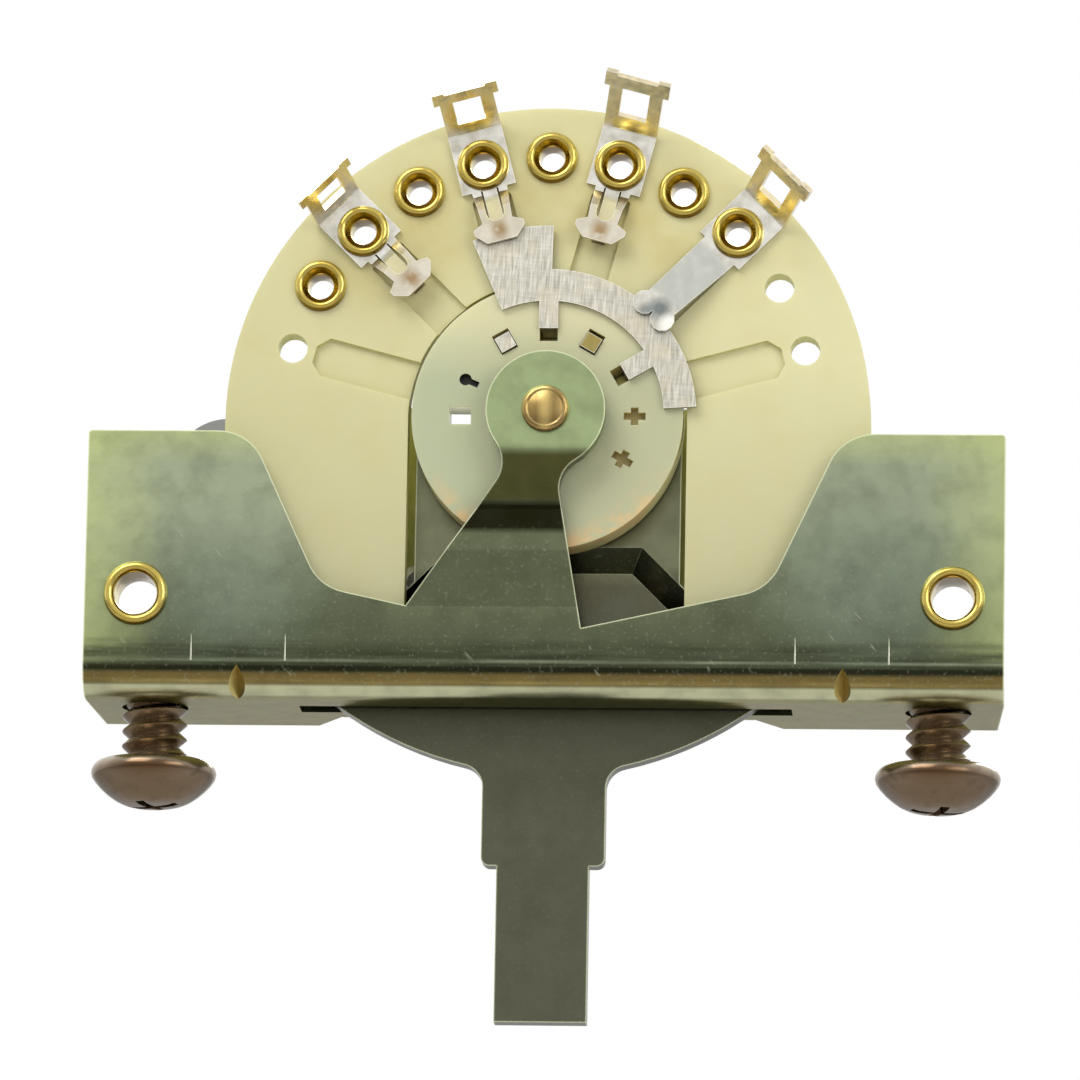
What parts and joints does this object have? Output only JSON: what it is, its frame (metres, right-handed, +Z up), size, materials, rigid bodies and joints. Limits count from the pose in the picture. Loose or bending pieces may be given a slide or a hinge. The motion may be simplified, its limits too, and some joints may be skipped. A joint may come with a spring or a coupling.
{
  "type": "rotary lever selector switch",
  "caption": "Open wafer lever selector switch: folded plated steel frame, cream contact wafer with rotor, brass eyelets, solder lugs and a flat steel lever between its mounting screws",
  "frame": {"origin": "centre of the web's underside, the face that points at the instrument's top, midway between the two mounting screws", "axes": "X along the frame from screw to screw, Y away from the contact side with the numbered front clips, Z up from the web to the pivot, so the lever points down"},
  "size_m": [0.0482, 0.0122, 0.0499],
  "materials": {
    "plated_steel": "dull olive plating with speckles",
    "lever_steel": "worn plating",
    "laminate": "satin",
    "rotor_plastic": "satin, slightly translucent",
    "contact_silver": "brushed silver plating",
    "terminal_silver": "bright silver plating",
    "eyelet_brass": "polished",
    "rivet_brass": "peened",
    "screw_steel": "dark satin",
    "spring_steel": "satin",
    "ball_steel": "polished"
  },
  "bodies": {
    "base": {"frame": "plated_steel", "wafer": "laminate", "pivot_rivet": "rivet_brass", "pivot_washer": "spring_steel", "index_ball": "ball_steel", "index_spring": "spring_steel", "index_spring_rivet": "spring_steel", "front_terminal_left": "terminal_silver", "front_terminal_middle": "terminal_silver", "front_terminal_right": "terminal_silver", "front_common": "terminal_silver", "rear_terminal_left": "terminal_silver", "rear_terminal_middle": "terminal_silver", "rear_terminal_right": "terminal_silver", "rear_common": "terminal_silver", "wafer_eyelet_1": "eyelet_brass", "wafer_eyelet_2": "eyelet_brass", "wafer_eyelet_3": "eyelet_brass", "wafer_eyelet_4": "eyelet_brass", "wafer_eyelet_5": "eyelet_brass", "wafer_eyelet_6": "eyelet_brass", "wafer_eyelet_7": "eyelet_brass", "wafer_eyelet_8": "eyelet_brass", "frame_eyelet_left": "eyelet_brass", "frame_eyelet_right": "eyelet_brass", "mounting_screw_left": "screw_steel", "mounting_screw_right": "screw_steel"},
    "lever_and_rotor": {"lever": "lever_steel", "rotor": "rotor_plastic", "front_blade": "contact_silver", "rear_blade": "contact_silver"}
  },
  "joints": [
    {"name": "lever_hinge", "type": "hinge", "parent": "base", "child": "lever_and_rotor", "pos_m": [0, 0, 0.0151], "axis": [0, 1, 0], "range_deg": [-30, 30]}
  ]
}
